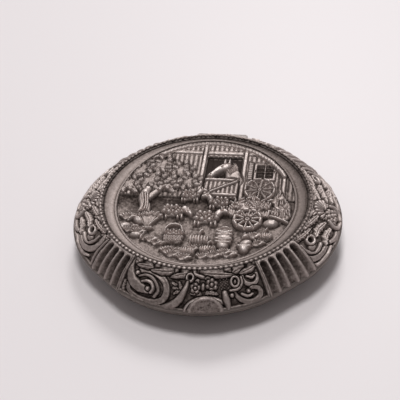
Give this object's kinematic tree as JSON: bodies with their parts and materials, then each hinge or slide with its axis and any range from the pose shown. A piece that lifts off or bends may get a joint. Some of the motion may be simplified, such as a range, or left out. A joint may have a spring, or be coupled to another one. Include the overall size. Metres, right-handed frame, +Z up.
{
  "type": "pill box",
  "caption": "Small oval silver pill box with a hinged lid: sunken relief plaque, beaded rim, scrolled frieze with reeded corners, shallow gilt-lined base.",
  "frame": {"origin": "centre of the flat floor plate's underside", "axes": "+Z up, front of the box faces -Y, hinge at +Y, long side of the oval along X"},
  "size_m": [0.05, 0.0492, 0.0105],
  "materials": {
    "relief_silver": "oxidised silver relief, dark in the recesses and worn bright on the peaks",
    "plain_silver": "oxidised plain silver, softly polished by handling",
    "gilt": "worn gilding, satin",
    "hinge_silver": "drawn silver tube, darkened at the joints"
  },
  "bodies": {
    "base": {"floor_plate": "plain_silver", "base_wall": "plain_silver", "base_edge_band": "plain_silver", "bezel": "gilt", "base_liner": "gilt", "knuckle_left": "hinge_silver", "knuckle_right": "hinge_silver", "bearer_left": "hinge_silver", "bearer_right": "hinge_silver", "hinge_pin": "hinge_silver"},
    "lid": {"lid_edge_band": "plain_silver", "frieze": "relief_silver", "plain_cartouche": "relief_silver", "shoulder": "plain_silver", "bead_wire": "relief_silver", "fillet_wire": "relief_silver", "plaque": "relief_silver", "lid_liner": "gilt", "knuckle_centre": "hinge_silver", "bearer_centre": "hinge_silver"}
  },
  "joints": [
    {"name": "lid_hinge", "type": "hinge", "parent": "base", "child": "lid", "pos_m": [0, 0.02455, 0.00453], "axis": [-1, 0, 0], "range_deg": [0, 100]}
  ]
}
